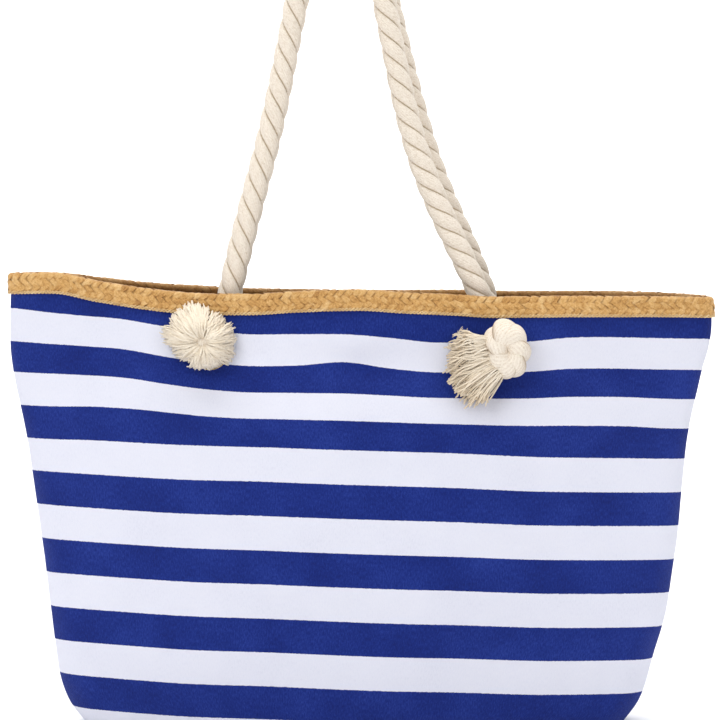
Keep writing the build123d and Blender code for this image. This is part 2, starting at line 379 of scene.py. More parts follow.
def coil_material():
    """The rope's surface where it winds into a knot: fine yarns that run at a slant."""
    shader = Shader("knotted_cotton", 0.9, sheen=0.2)
    around, along = shader.uv()
    slant = shader.maths("MULTIPLY_ADD", along, 1 / (17 * MM), shader.maths("MULTIPLY", around, 1.0))
    yarns = shader.maths("SINE", shader.maths("MULTIPLY", slant, 2 * np.pi * 9))
    strands = shader.maths("SINE", shader.maths("MULTIPLY", slant, 2 * np.pi))
    fluff = shader.noise(shader.place(), 1100.0, 4.0, 0.7)
    tone = shader.maths("MULTIPLY_ADD", yarns, 0.07, fluff)
    tone = shader.maths("MULTIPLY_ADD", strands, 0.05, tone)
    cotton = shader.ramp(tone, (0.32, (0.64, 0.53, 0.39)), (0.5, CREAM), (0.7, (0.88, 0.81, 0.69)))
    # Painted shade: each coil is darkened along its lapped edges, where it tucks under the next.
    crease = shader.maths("ABSOLUTE", shader.maths("SUBTRACT", shader.maths("FRACT", around), 0.5))
    crease = shader.maths("POWER", shader.maths("MULTIPLY", crease, 2.0), 9.0)
    shader.colour(shader.mix(crease, cotton, (0.42, 0.30, 0.18), "MULTIPLY"))
    height = shader.maths("MULTIPLY_ADD", yarns, 0.3, fluff)
    shader.bump(shader.maths("MULTIPLY_ADD", strands, 0.6, height), 0.7, 0.5 * MM)
    return shader.material


def yarn_material(name, tip):
    """Frayed cotton yarn; along each one the second UV number runs from 0 to 1."""
    shader = Shader(name, 0.92, sheen=0.2)
    around, along = shader.uv()
    ply = shader.maths("MULTIPLY_ADD", along, 62.0, shader.maths("MULTIPLY", around, 2 * np.pi))
    ply = shader.maths("SINE", ply)
    own_tone = shader.noise(shader.vector(shader.maths("FLOOR", around), 0.0), 3.1, 1.0)
    fluff = shader.noise(shader.place(), 1400.0, 3.0, 0.7)
    tone = shader.maths("MULTIPLY_ADD", own_tone, 0.7, shader.maths("MULTIPLY", fluff, 0.3))
    cotton = shader.ramp(
        tone,
        (0.3, (0.66, 0.55, 0.405)),
        (0.5, (0.82, 0.73, 0.60)),
        (0.7, (0.89, 0.83, 0.72)),
    )
    near_tip = shader.maths("POWER", along, 3.0)
    ripe = shader.maths("MULTIPLY", near_tip, shader.maths("MULTIPLY", own_tone, 1.5))
    shader.colour(shader.mix(ripe, cotton, tip))
    shader.bump(shader.maths("MULTIPLY_ADD", ply, 0.5, fluff), 0.6, 0.3 * MM)
    return shader.material


def metal_material(name, dark, bright, roughness):
    """Turned metal with a little tarnish."""
    shader = Shader(name, roughness, metallic=1.0)
    tarnish = shader.noise(shader.place(), 160.0, 5.0, 0.65)
    shader.colour(shader.ramp(tarnish, (0.35, dark), (0.65, bright)))
    scratches = shader.noise(shader.place(), 1100.0, 2.0)
    rough = shader.maths("MULTIPLY_ADD", tarnish, 0.25, roughness - 0.1)
    shader.wire(rough, shader.main.inputs["Roughness"])
    shader.bump(scratches, 0.15, 0.1 * MM)
    return shader.material


CANVAS_CLOTH = canvas_material()
LINING_CLOTH = lining_material()
PLAIT = straw_material("plaited_straw", (0.30, 0.13, 0.035), STRAW, (0.84, 0.58, 0.28))
PLAIT_EDGE = straw_material("straw_edge", (0.50, 0.29, 0.10), (0.76, 0.52, 0.25), (0.88, 0.70, 0.42))
ROPE_COTTON = rope_material()
COIL = coil_material()
YARN = yarn_material("pompom_yarn", (0.80, 0.70, 0.55))
FRAYED = yarn_material("tassel_yarn", (0.70, 0.56, 0.38))
BRASS = metal_material("eyelet_brass", (0.42, 0.27, 0.09), (0.80, 0.60, 0.26), 0.32)
STEEL = metal_material("snap_steel", (0.42, 0.41, 0.39), (0.72, 0.71, 0.68), 0.3)


# -------------------- camera
TARGET = Vector((0.0, -0.05, 0.2962))
VIEW_WIDTH = 0.558
CAMERA_DISTANCE = 2.6
ELEVATION = np.radians(6.0)
SENSOR = 36.0


def add_camera():
    data = bpy.data.cameras.new("camera")
    data.sensor_width = SENSOR
    data.lens = SENSOR * CAMERA_DISTANCE / VIEW_WIDTH
    data.clip_end = 50
    camera = bpy.data.objects.new("camera", data)
    bpy.context.scene.collection.objects.link(camera)
    away = Vector((0.0, -np.cos(ELEVATION), np.sin(ELEVATION)))
    camera.location = TARGET + away * CAMERA_DISTANCE
    camera.rotation_euler = (-away).to_track_quat("-Z", "Y").to_euler()
    bpy.context.scene.camera = camera


add_camera()


# -------------------- rope handles
REAR_LEAN = 8.0  # how far the rear handle's right leg stands outside the front one's


def route(lean):
    """The front handle's route from its left knot to its right one; the rear one mirrors it."""
    return [
        (-116.2, -56.4, 303.8),
        (-113.4, -41.2, 300.3),
        (-107.5, -24.5, 313.0),
        (-101.5, -28.6, 350.0),
        (-86.0, -24.1, 412.0),
        (-69.5, -20.0, 472.0),
        (-53.5, -14.2, 552.0),
        (-46.0, -11.4, 591.0),
        (-34.2, -10.2, 607.4),
        (-15.0, -9.8, 613.6),
        (4.2, -10.2, 607.4),
        (16.0 + lean * 0.25, -11.4, 591.0),
        (22.5 + lean * 0.6, -14.2, 552.0),
        (36.5 + lean, -19.2, 482.0),
        (54.0 + lean, -23.1, 427.0),
        (92.0 + lean * 0.8, -28.3, 350.0),
        (105.5, -24.5, 313.0),
        (113.4, -41.2, 300.3),
        (116.2, -56.4, 303.8),
    ]


LAY = 52.0 * MM  # one turn of the rope's strands
STRANDS = 3


def route_points(side):
    """The route as a curve object's own smooth line, sampled by Blender."""
    data = bpy.data.curves.new("route", "CURVE")
    data.dimensions = "3D"
    data.resolution_u = 24
    spline = data.splines.new("NURBS")
    corners = route(REAR_LEAN if side > 0 else 0.0)
    spline.points.add(len(corners) - 1)
    for point, (x, y, z) in zip(spline.points, corners):
        point.co = (x * MM, -side * y * MM, z * MM, 1)
    spline.order_u = 3
    spline.use_endpoint_u = True
    carrier = bpy.data.objects.new("route", data)
    bpy.context.scene.collection.objects.link(carrier)
    bpy.context.view_layer.update()
    line = bpy.data.meshes.new_from_object(carrier)
    points = np.array([tuple(vertex.co) for vertex in line.vertices])
    bpy.data.objects.remove(carrier)
    bpy.data.curves.remove(data)
    bpy.data.meshes.remove(line)
    return points


def evenly(path, step):
    """The same path with points a step apart."""
    along = lengths_along(path)
    count = max(2, int(round(along[-1] / step)))
    wanted = np.linspace(0, along[-1], count + 1)
    return np.stack([np.interp(wanted, along, path[:, axis]) for axis in range(3)], axis=1)


def strand_profile(phase):
    """Share of the rope's radius across one strand; phase runs from -1 to 1."""
    return 1 - 0.12 * np.abs(phase) ** 2.0 - 0.17 * np.abs(phase) ** 9


def build_rope(side_name):
    """One laid rope, whole from knot to knot, which bends where it crosses the rim."""
    side = SIDES[side_name]
    path = evenly(route_points(side), 1.1 * MM)
    _, across, up = frames_along(path)
    along = lengths_along(path)
    sides = 66
    angles = np.arange(sides) / sides * 2 * np.pi
    twist = -along / LAY * 2 * np.pi + (0.4 if side < 0 else 1.7)
    turn = (angles[None] - twist[:, None]) * STRANDS / (2 * np.pi)
    phase = (turn - np.floor(turn)) * 2 - 1
    softness = 1 + 0.025 * np.sin(along / (21 * MM) + 2 * np.sin(along / (57 * MM)))[:, None]
    radius = ROPE / 2 * strand_profile(phase) * softness
    circle = across[:, None] * np.cos(angles)[None, :, None] + up[:, None] * np.sin(angles)[None, :, None]
    rings = path[:, None] + circle * radius[:, :, None]
    uvs = np.stack([turn, np.repeat(along[:, None], sides, axis=1)], axis=2)
    bundle = Bundle()
    bundle.rings(rings, uvs)
    rope = bundle.build(f"{side_name}_rope", ROPE_COTTON)
    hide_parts(f"{side_name}_handle", f"{side_name}_left_rope_leg", f"{side_name}_right_rope_leg")
    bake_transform(rope)
    return rope, path


ropes = {side_name: build_rope(side_name) for side_name in SIDES}


# -------------------- the bag's shape
# Height, half width, half depth and end radius, in millimetres.
LEVELS = np.array(
    [
        (0.0, 213.0, 66.0, 38.0),
        (20.0, 227.5, 73.0, 40.0),
        (64.0, 239.0, 79.0, 38.0),
        (140.0, 251.0, 83.0, 32.0),
        (220.0, 262.0, 80.0, 24.0),
        (EYELET_HEIGHT, 274.0, 61.5, 13.0),
        (MOUTH_HEIGHT, 272.5, 50.0, 9.0),
    ]
)
# How far the soft rim stands above or below its level, from the left end to the right one.
RIM_PLACES = [-272, -232, -200, -163, -124, -85, -46, 0, 31, 70, 100, 147, 186, 225, 272]
RIM_RISE = {
    "front": [6.9, 8.4, 2.9, -2.2, -5.5, -5.8, -3.5, -2.0, -4.0, -6.0, -8.0, -8.0, -8.9, -10.0, -12.0],
    "rear": [6.9, 6.0, 1.5, -3.5, -6.5, -9.0, -10.0, -11.0, -11.0, -10.5, -11.0, -10.5, -9.8, -10.0, -12.0],
}


# How far the right end stands outside its oval, in millimetres, from the base up to the rim.
LEAN_HEIGHTS = [0, 35, 80, 140, 190, 243, 265, 285, 300, 315, 330, MOUTH_HEIGHT]
RIGHT_LEAN = [0, 0, -0.5, -0.5, -3.0, -4.6, -3.9, -2.3, 1.0, 3.5, 4.0, 2.0]
FOOT_SHIFT = -4.6  # the foot of the bag stands a little to the left


def oval_point(half_width, half_depth, end_radius, share):
    """A point on the front half of an oval of four tangent arcs; share runs from -1 to 1."""
    reach = half_width - end_radius
    big = (reach**2 / (half_depth - end_radius) + end_radius + half_depth) / 2
    turn = np.arcsin(np.clip(reach / (big - end_radius), -1, 1))
    flat = big * turn
    half = flat + end_radius * (np.pi / 2 - turn)
    away = np.abs(share) * half
    on_side = away <= flat
    side_angle = away / big
    end_angle = turn + (away - flat) / end_radius
    x = np.where(on_side, big * np.sin(side_angle), reach + end_radius * np.sin(end_angle))
    y = np.where(on_side, big - half_depth - big * np.cos(side_angle), -end_radius * np.cos(end_angle))
    angle = np.where(on_side, side_angle, end_angle)
    return x * np.sign(share), y, np.sin(angle) * np.sign(share), -np.cos(angle)


def wall_point(side_name, share, height, inset=0.0):
    """Points in metres on a wall and the level outward normals; height is in millimetres."""
    share, height = np.broadcast_arrays(np.asarray(share, float), np.asarray(height, float))
    side = SIDES[side_name]
    rough_x = share * (curve_through(LEVELS[:, 0], LEVELS[:, 1], height) - inset)
    rise = curve_through(RIM_PLACES, RIM_RISE[side_name], rough_x) * smoothstep(150, MOUTH_HEIGHT, height)
    z = height + rise
    half_width, half_depth, end_radius = (
        curve_through(LEVELS[:, 0], LEVELS[:, column], z) for column in (1, 2, 3)
    )
    x, y, out_x, out_y = oval_point(half_width - inset, half_depth - inset, end_radius - inset, share)
    lean = folds(side_name, x, z) * (1 - smoothstep(0.93, 1.0, np.abs(share)))
    x = x + out_x * lean - 2.5 * smoothstep(-170, -265, x) * smoothstep(240, 330, z)
    right_lean = curve_through(LEAN_HEIGHTS, RIGHT_LEAN, z) * smoothstep(150, 262, x)
    x = x + right_lean + FOOT_SHIFT * smoothstep(100, 35, z)
    y = y + out_y * lean
    return np.stack([x, -side * y, z], axis=-1) * MM, np.stack([out_x, -side * out_y, 0 * out_x], axis=-1)


def wall_depth(side_name, x, z):
    """How far from the middle plane the outside of a wall stands, all in millimetres."""
    half_width, half_depth, end_radius = (curve_through(LEVELS[:, 0], LEVELS[:, c], z) for c in (1, 2, 3))
    big = ((half_width - end_radius) ** 2 / (half_depth - end_radius) + end_radius + half_depth) / 2
    return np.sqrt(big**2 - np.asarray(x) ** 2) - big + half_depth + folds(side_name, x, z)


def folds(side_name, x, z):
    """How far the soft wall stands out from its oval, in millimetres."""
    shift = 0.0 if side_name == "front" else 2.1
    near_rim = smoothstep(350, 326, z)
    low = smoothstep(0, 60, z)
    sag = -5.0 * hump(293, 22, z) * hump(8, 120, x) + 4.5 * hump(250, 26, z) * hump(10, 190, x)
    sag = sag - 2.6 * hump(296, 16, z) * np.cos(x / 31 + shift) * hump(0, 210, x)
    waves = (
        1.5 * np.sin(x / 41 + z / 70 + shift)
        + 1.1 * np.sin(x / 23 - z / 52 + 1.3 + shift)
        + 0.8 * np.sin(x / 67 + z / 19 + 2 * shift)
    )
    creases = 0.9 * np.sin(x / 15 + z / 26 + shift) * hump(285, 40, z)
    pulls = 0.0
    calm = 1.0
    for knot_x in (-EYELET_X, EYELET_X):
        away = np.hypot(x - knot_x, z - EYELET_HEIGHT)
        angle = np.arctan2(z - EYELET_HEIGHT, x - knot_x)
        pulls = pulls + 2.0 * np.cos(6 * angle + knot_x) * np.exp(-away / 38) * smoothstep(18, 36, away)
        calm = calm * smoothstep(14, 40, away)
    beside_snap = 1 - 0.75 * hump(0, 16, x) * hump(SNAP_HEIGHT, 16, z)
    return ((sag + waves * low + creases) * calm + pulls) * near_rim * beside_snap


# Where the cloth sags its stripes look closer together: how much, and from what height up.
SLACK_PLACES = [-272, -221, -186, -151, -116, -81, -46, -12, 23, 58, 93, 128, 163, 232, 272]
SLACK = [6.5, 10, 11.5, 15.4, 18, 20, 18.7, 17.7, 19.2, 21.7, 20.1, 17.7, 13.4, 12.4, 12.4]
SLACK_FROM = [244, 254, 252, 238, 226, 222, 222, 222, 222, 222, 222, 224, 226, 226, 226]


def stripe_height(points):
    """How far along the cloth each point lies, in metres, from the base seam up."""
    x = points[..., 0] / MM
    seen = points[..., 2] / MM + (50 - np.abs(points[..., 1]) / MM) * 0.105
    tilt = 0.034 * x - 0.00004 * x**2
    start = curve_through(SLACK_PLACES, SLACK_FROM, x)
    slack = curve_through(SLACK_PLACES, SLACK, x) * smoothstep(0, 88, seen - start)
    slack = slack - 4.0 * hump(-12, 26, x) * hump(293, 12, seen)
    at_ends = 2.2 * smoothstep(200, 250, np.abs(x)) * hump(250, 24, seen)
    drop = 0.8 + 1.8 * smoothstep(60, 150, np.abs(x)) + at_ends
    return (seen + tilt + slack + drop) * MM


WALL_TOP_GAP = 3.0  # the canvas stops this far below the rim, inside the braid


def cloth_wall(name, side_name, inset, columns, rows, material, nodes):
    """One wall of canvas or lining, from the base seam to just under the braid's fold."""
    share = np.linspace(-1, 1, columns)[None]
    height = np.linspace(inset, MOUTH_HEIGHT - WALL_TOP_GAP, rows)[:, None]
    points, _ = wall_point(side_name, share, height, inset)
    around = lengths_along(points[rows // 2])[None].repeat(rows, axis=0)
    uvs = np.stack([around, stripe_height(points)], axis=-1)
    faces = grid_faces(rows, columns, flip=SIDES[side_name] > 0)
    wall = make_object(name, points.reshape(-1, 3), faces, uvs.reshape(-1, 2), material)
    thick = wall.modifiers.new("thickness", "SOLIDIFY")
    thick.thickness = (CANVAS if inset == 0 else WALL - CANVAS) * 0.9
    thick.offset = -1
    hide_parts(*nodes)
    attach(wall, "bag")
    return wall


for side_name in SIDES:
    panel = [f"{side_name}_panel"]
    lining = [f"{side_name}_lining"]
    cloth_wall(f"{side_name}_canvas", side_name, 0, 260, 170, CANVAS_CLOTH, panel)
    cloth_wall(f"{side_name}_inside", side_name, CANVAS / MM, 180, 110, LINING_CLOTH, lining)


def base_sheet(name, inset, height, material, nodes):
    """The sewn base, almost flat, inside the foot of the walls."""
    rings = 26
    columns = 180
    share = np.concatenate([np.linspace(-1, 1, columns), np.linspace(1, -1, columns)[1:-1]])
    front, _ = wall_point("front", share[:columns], 0.0, inset)
    rear, _ = wall_point("rear", share[columns:], 0.0, inset)
    outline = np.concatenate([front, rear])
    shrink = np.linspace(1, 0.02, rings)[:, None, None]
    points = outline[None] * shrink
    points[..., 2] = (height + 0.25 * np.sin(points[..., 0] / (23 * MM)) * (1 - shrink[..., 0])) * MM
    uvs = np.stack([points[..., 0], points[..., 1] + 0.2], axis=-1)
    count = len(outline)
    faces = grid_faces(rings, count, wrap=True)
    faces.append(tuple(range((rings - 1) * count, rings * count)))
    sheet = make_object(name, points.reshape(-1, 3), faces, uvs.reshape(-1, 2), material)
    thick = sheet.modifiers.new("thickness", "SOLIDIFY")
    thick.thickness = 0.9 * MM
    thick.offset = 0
    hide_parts(*nodes)
    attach(sheet, "bag")


base_sheet("base_canvas", 0.2, 0.75, CANVAS_CLOTH, ["base_panel"])
base_sheet("base_inside", 2.6, 2.4, LINING_CLOTH, ["base_lining"])


def inner_pocket():
    """A flat slip pocket on the rear lining, with a turned hem along its top."""
    columns, rows = 90, 60
    share = np.linspace(-0.345, 0.345, columns)[None]
    height = np.linspace(150, 290, rows)[:, None]
    points, out = wall_point("rear", share, height, 3.2)
    slack = 1.6 * smoothstep(235, 290, height) * hump(0, 0.24, share)
    points = points - out * (slack * MM)[..., None]
    uvs = np.stack([points[..., 0], points[..., 2]], axis=-1)
    faces = grid_faces(rows, columns)
    pocket = make_object("slip_pocket", points.reshape(-1, 3), faces, uvs.reshape(-1, 2), LINING_CLOTH)
    thick = pocket.modifiers.new("thickness", "SOLIDIFY")
    thick.thickness = 0.9 * MM
    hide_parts("inner_pocket")
    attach(pocket, "bag")
    hem = Bundle()
    top = points[-1] - out[-1] * 0.4 * MM
    hem.tube(top, np.full(len(top), 1.3 * MM), 8)
    hem_piece = hem.build("slip_pocket_hem", LINING_CLOTH)
    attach(hem_piece, "bag")


inner_pocket()


# -------------------- plaited rim
REACH = BAND - 3.6 * MM  # how far the plait comes down each face
ROW = 5.1 * MM  # height of one row of the herringbone
STRAND_WIDTH = 4.5 * MM
STRAND_CYCLES = 15
STRAND_COUNT = 13
FOLD_RADIUS = 2.5 * MM
PLAIT_WIDTH = 2 * REACH - 2 * FOLD_RADIUS + np.pi * FOLD_RADIUS


def rim_frame(around):
    """For each place around the mouth, from 0 to 1: the wall it is on and its share."""
    loop = (np.asarray(around, float) % 1.0) * 2
    on_front = loop < 1
    share = np.where(on_front, -1 + 2 * loop, 1 - 2 * (loop - 1))
    return on_front, share


def rim_point(around, across, lift):
    """A point of the braid: across runs from its outer edge over the fold to its inner edge."""
    on_front, share = rim_frame(around)
    turn = np.clip((across - REACH + FOLD_RADIUS) / FOLD_RADIUS, 0, np.pi)
    down_inside = across - REACH + 2 * FOLD_RADIUS - np.pi * FOLD_RADIUS
    drop = np.where(turn <= 0, REACH - across, np.where(turn >= np.pi, down_inside, FOLD_RADIUS))
    points = np.empty((*np.shape(share), 3))
    for side_name, chosen in (("front", on_front), ("rear", ~on_front)):
        if not np.any(chosen):
            continue
        base, out = wall_point(side_name, share[chosen], MOUTH_HEIGHT - drop[chosen] / MM)
        middle = base - out * WALL / 2
        reach = (FOLD_RADIUS + lift[chosen]) * np.cos(turn[chosen])
        rise = (FOLD_RADIUS + lift[chosen]) * np.sin(turn[chosen])
        points[chosen] = middle + out * reach[..., None]
        points[chosen, 2] += rise
    return points


def plait():
    """Flat straw strands that zigzag over the rim, woven over and under in rows."""
    run = PLAIT_WIDTH - STRAND_WIDTH * 0.7
    cross = 7
    offset = np.linspace(-1, 1, cross)
    crown = np.sqrt(1 - offset**2 * 0.9) * 0.45 * MM
    random = np.random.default_rng(5)
    bundle = Bundle()
    inner_shades = []
    place = np.linspace(0, 1, 2901)
    rim_length = 1.1
    for strand in range(STRAND_COUNT):
        wander = 0.02 * np.sin(place * 2 * np.pi * 23 + strand * 1.7)
        cycle = place * STRAND_CYCLES + strand / STRAND_COUNT + wander
        wave = np.abs((cycle % 1.0) * 2 - 1)
        heading = np.where((cycle % 1.0) < 0.5, -1.0, 1.0)
        soft = np.tanh(np.minimum(wave, 1 - wave) * 14)
        centre = STRAND_WIDTH * 0.35 + wave * run
        over = np.sin(np.pi * centre / ROW) * heading * soft
        slope = np.gradient(centre) / np.gradient(place * rim_length)
        size = np.sqrt(1 + slope**2)
        width = STRAND_WIDTH * (1 + 0.12 * np.sin(cycle * 2 * np.pi * 3.3 + random.uniform(0, 6)))
        around = place[:, None] - (slope / size * width / 2 / rim_length)[:, None] * offset[None]
        across = centre[:, None] + (width / size / 2)[:, None] * offset[None]
        across = np.clip(across, 0.2 * MM, PLAIT_WIDTH - 0.2 * MM)
        ragged = 0.16 * MM * np.sin(cycle * 61 + strand * 2.1)
        warp = 0.12 * MM * offset[None] * np.sin(cycle * 29)[:, None]
        lift = (over * 0.7 * MM + ragged)[:, None] + 0.45 * MM + warp
        top = rim_point(around, across, lift + crown[None])
        under = rim_point(around, across, lift - crown[None] * 0.4)
        rings = np.concatenate([top, under[:, ::-1]], axis=1)
        uvs = np.empty((*rings.shape[:2], 2))
        uvs[..., 0] = strand + 0.05 + 0.9 * np.abs(np.linspace(-1, 1, rings.shape[1]))[None]
        uvs[..., 1] = lengths_along(top[:, cross // 2])[:, None]
        bundle.rings(rings, uvs, caps=False)
        # Painted shade: each strand darkens as it turns over the fold into the mouth.
        inside = smoothstep(REACH - FOLD_RADIUS, REACH + FOLD_RADIUS * 3, across)
        inner_shades.append(np.concatenate([inside, inside[:, ::-1]], axis=1).ravel())
    braid = bundle.build("rim_plait", PLAIT)
    mark_inner_shade(braid, np.concatenate(inner_shades))
    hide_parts("front_rim_braid", "rear_rim_braid")
    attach(braid, "bag")


def mark_inner_shade(thing, values):
    """Stores how far inside the mouth each vertex lies, for the painted shade in the straw's colour."""
    layer = thing.data.attributes.new("inner", "FLOAT", "POINT")
    layer.data.foreach_set("value", np.asarray(values, float))


def braid_backing():
    """The straw tape under the plait, seen only in its gaps, where it carries painted shade."""
    columns, rows = 420, 22
    around = np.linspace(0, 1, columns, endpoint=False)[None].repeat(rows, axis=0)
    across = np.linspace(0.8 * MM, PLAIT_WIDTH - 0.8 * MM, rows)[:, None].repeat(columns, axis=1)
    points = rim_point(around, across, np.full(across.shape, -0.4 * MM))
    uvs = np.stack([around * 90, across], axis=-1)
    faces = grid_faces(rows, columns, wrap=True)
    tape = make_object("rim_tape", points.reshape(-1, 3), faces, uvs.reshape(-1, 2), PLAIT)
    # Painted shade: the tape is darkened almost fully, as shade in the plait's gaps.
    mark_inner_shade(tape, np.full(rows * columns, 0.8))
    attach(tape, "bag")


def braid_edges():
    """The looped cords that finish the plait's outer and inner edges."""
    bundle = Bundle()
    inner_shades = []
    place = np.linspace(0, 1, 2200)
    loops = 2 * np.pi * place * 196
    # The inner cord is given the full painted shade of the mouth's inside face.
    for across, inner in ((0.0, 0.0), (PLAIT_WIDTH, 1.0)):
        for ply in (0.0, 0.5):
            turn = loops + 2 * np.pi * ply
            side_step = np.full(place.shape, across) + 0.8 * MM * np.sin(turn)
            path = rim_point(place, side_step, 0.55 * MM + 0.35 * MM * np.cos(turn))
            bundle.tube(path, np.full(len(path), 0.72 * MM), 6, seed=ply * 2)
            inner_shades.append(np.full(len(path) * 6, inner))
    edge = bundle.build("rim_edge_cord", PLAIT_EDGE)
    mark_inner_shade(edge, np.concatenate(inner_shades))
    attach(edge, "bag")


plait()
braid_backing()
braid_edges()


# -------------------- knots and frayed ends
def out_from_wall(side_name, x, z, away):
    """Points in metres that stand a distance away from a wall; all given in millimetres."""
    x, z, away = np.broadcast_arrays(*(np.asarray(value, float) for value in (x, z, away)))
    depth = wall_depth(side_name, x, z) + away
    return np.stack([x, SIDES[side_name] * depth, z], axis=-1) * MM


def knot_coils(name, side_name, centre, angles, node, size=1.0):
    """The coils of a tight overhand knot, lapped over each other like a pinwheel."""
    bundle = Bundle()
    t = np.linspace(0, 1, 44)
    stops = np.linspace(0, 1, 7)
    out = curve_through(stops, [0.8, 3.6, 7.2, 10.0, 11.2, 10.2, 7.2], t) * size
    away = curve_through(stops, [20.0, 24.5, 26.0, 22.5, 15.5, 9.0, 6.5], t) * min(1.0, size + 0.1)
    wide = curve_through(stops, [2.6, 6.0, 9.2, 10.6, 10.8, 9.8, 8.4], t) * size
    base = wall_depth(side_name, *centre)
    side = SIDES[side_name]
    around = np.arange(36) / 36 * 2 * np.pi
    lap = np.radians(30)
    for index, degrees in enumerate(angles):
        angle = np.radians(degrees + 34 - 66 * t)
        x = centre[0] + np.cos(angle) * out * 0.8
        z = centre[1] + np.sin(angle) * out * 1.32
        path = np.stack([x, side * (base + away), z], axis=1) * MM
        tangents = np.gradient(path, axis=0)
        tangents /= np.linalg.norm(tangents, axis=1)[:, None]
        middle = np.array([centre[0], side * (base + 11.0), centre[1]]) * MM
        outward = path - middle
        across = np.cross(tangents, outward) * side
        across /= np.linalg.norm(across, axis=1)[:, None]
        up = np.cross(across, tangents) * side
        edge = across * np.cos(lap) + up * np.sin(lap)
        crest = up * np.cos(lap) - across * np.sin(lap)
        half = wide[:, None, None] * MM
        rings = path[:, None] + edge[:, None] * np.cos(around)[None, :, None] * half
        rings = rings + crest[:, None] * np.sin(around)[None, :, None] * half * 0.72
        uvs = np.empty((len(t), 36, 2))
        uvs[..., 0] = index * 2 + np.abs(around[None] / np.pi - 1)
        uvs[..., 1] = lengths_along(path)[:, None]
        bundle.rings(rings, uvs)
    knot = bundle.build(name, COIL)
    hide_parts(node)
    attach(knot, "bag")
    return knot


def bezier(start, middle, end, t):
    return start * (1 - t) ** 2 + middle * 2 * t * (1 - t) + end * t**2


def pompom(name, side_name, centre, node, seed):
    """Yarns that burst from the rope's end all round into a soft dome."""
    random = np.random.default_rng(seed)
    bundle = Bundle()
    t = np.linspace(0, 1, 10)
    clumps = np.sort(random.uniform(0, 2 * np.pi, 19))
    full = random.uniform(0.9, 1.07, 19)
    count = 1500
    for index in range(count):
        spin = (index * 2.399963 + random.normal(0, 0.1)) % (2 * np.pi)
        near = int(np.argmin(np.abs(np.angle(np.exp(1j * (clumps - spin))))))
        pull = np.angle(np.exp(1j * (clumps[near] - spin)))
        layer = random.uniform(0, 1) ** 0.9
        tip_spin = spin + 0.16 * pull
        wide = 26.6 - 2.4 * np.cos(spin) + 2.6 * np.sin(spin)
        wide = wide + 1.4 * np.cos(2 * spin) - 3.0 * np.sin(2 * spin)
        wide = wide * full[near] * random.uniform(0.93, 1.03)
        reach = wide * (1 - 0.34 * layer**1.8)
        out = bezier(0.4, reach * (0.62 - 0.22 * layer), reach, t)
        away = bezier(14.0, 24.0 + 16.0 * layer, 3.5 + 17.0 * layer**1.2, t) + random.normal(0, 0.6)
        sway = random.normal(0, 0.035) * np.sin(t * 5 + random.uniform(0, 6)) * 2
        angle = spin + (tip_spin - spin) * t + sway
        x = centre[0] + np.cos(angle) * out
        z = centre[1] + np.sin(angle) * out
        path = out_from_wall(side_name, x, z, away)
        radius = random.uniform(0.55, 0.78) * MM
        radii = radius * np.array([0.7, 0.9, 1, 1, 1, 1, 1, 1.05, 1.05, 0.7])
        bundle.tube(path, radii, 5, seed=index * 2.0, share=True)
    for index in range(7):
        spin = random.uniform(3.6, 5.6)
        curl = random.uniform(1.2, 2.4)
        out = bezier(8.0, 20.0, 22.0 + random.uniform(-2, 3), t)
        angle = spin + 0.18 * np.sin(t * 2.5 * curl)
        x = centre[0] + np.cos(angle) * out
        z = centre[1] + np.sin(angle) * out
        path = out_from_wall(side_name, x, z, 4 + 4 * np.sin(t * 3))
        bundle.tube(path, np.full(10, 0.5 * MM), 5, seed=index * 2.0, share=True)
    end = bundle.build(name, YARN)
    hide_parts(node)
    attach(end, "bag")
    return end


def fan(name, side_name, centre, node, seed):
    """Yarns that pour out from under the knot, down and to the left, and fray at their tips."""
    random = np.random.default_rng(seed)
    bundle = Bundle()
    t = np.linspace(0, 1, 12)
    row = [-1.0, -0.6, -0.1, 0.3, 0.7, 1.0]
    tip_x = [-35.0, -41.5, -42.0, -39.0, -31.0, -17.0]
    tip_z = [7.0, -4.0, -18.0, -32.0, -42.0, -46.0]
    count = 900
    for index in range(count):
        q = random.uniform(-1, 1)
        layer = random.uniform(0, 1)
        clump = np.sin(q * 21 + 3 * np.floor(layer * 3))
        start_x = -4.5 + 6.5 * q + random.normal(0, 1.2)
        start_z = -6.5 - 11.5 * q + random.normal(0, 1.2)
        short = random.uniform(0.80, 1.04) - 0.10 * layer
        end_x = curve_through(row, tip_x, q) * short + random.normal(0, 1.8) + clump
        end_z = curve_through(row, tip_z, q) * short + random.normal(0, 1.8) - clump
        bow = 4.0 * random.normal(0, 1) - 2.0
        middle_x = (start_x + end_x) / 2 - 3.0 - 0.35 * bow
        middle_z = (start_z + end_z) / 2 + 3.5 + bow * 0.8
        wave = random.uniform(0.4, 2.2) * np.sin(t * random.uniform(5, 14) + random.uniform(0, 6)) * t
        x = centre[0] + bezier(start_x, middle_x, end_x, t) + wave * 0.7
        z = centre[1] + bezier(start_z, middle_z, end_z, t) + wave
        away = bezier(4 + 17 * layer, 7 + 23 * layer, 2.5 + 17 * layer**1.5, t) + random.normal(0, 0.7)
        path = out_from_wall(side_name, x, z, np.maximum(away, 1.5))
        radii = random.uniform(0.6, 0.86) * MM * np.linspace(1.1, 0.75, 12)
        bundle.tube(path, radii, 5, seed=index * 2.0, share=True)
    for index in range(34):
        q = random.uniform(-1.15, 1.0)
        root_x = curve_through(row, tip_x, q) * 0.78
        root_z = curve_through(row, tip_z, q) * 0.78
        heading = np.arctan2(root_z, root_x) + random.normal(0, 0.5)
        length = random.uniform(7, 14)
        curl = random.uniform(-1.6, 1.6)
        x = centre[0] + root_x + np.cos(heading + curl * t) * length * t
        z = centre[1] + root_z + np.sin(heading + curl * t) * length * t
        path = out_from_wall(side_name, x, z, random.uniform(4, 20) + 2 * t)
        bundle.tube(path, 0.36 * MM * np.linspace(1.1, 0.7, 12), 5, seed=index * 2.0, share=True)
    end = bundle.build(name, FRAYED)
    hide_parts(node)
    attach(end, "bag")
    return end


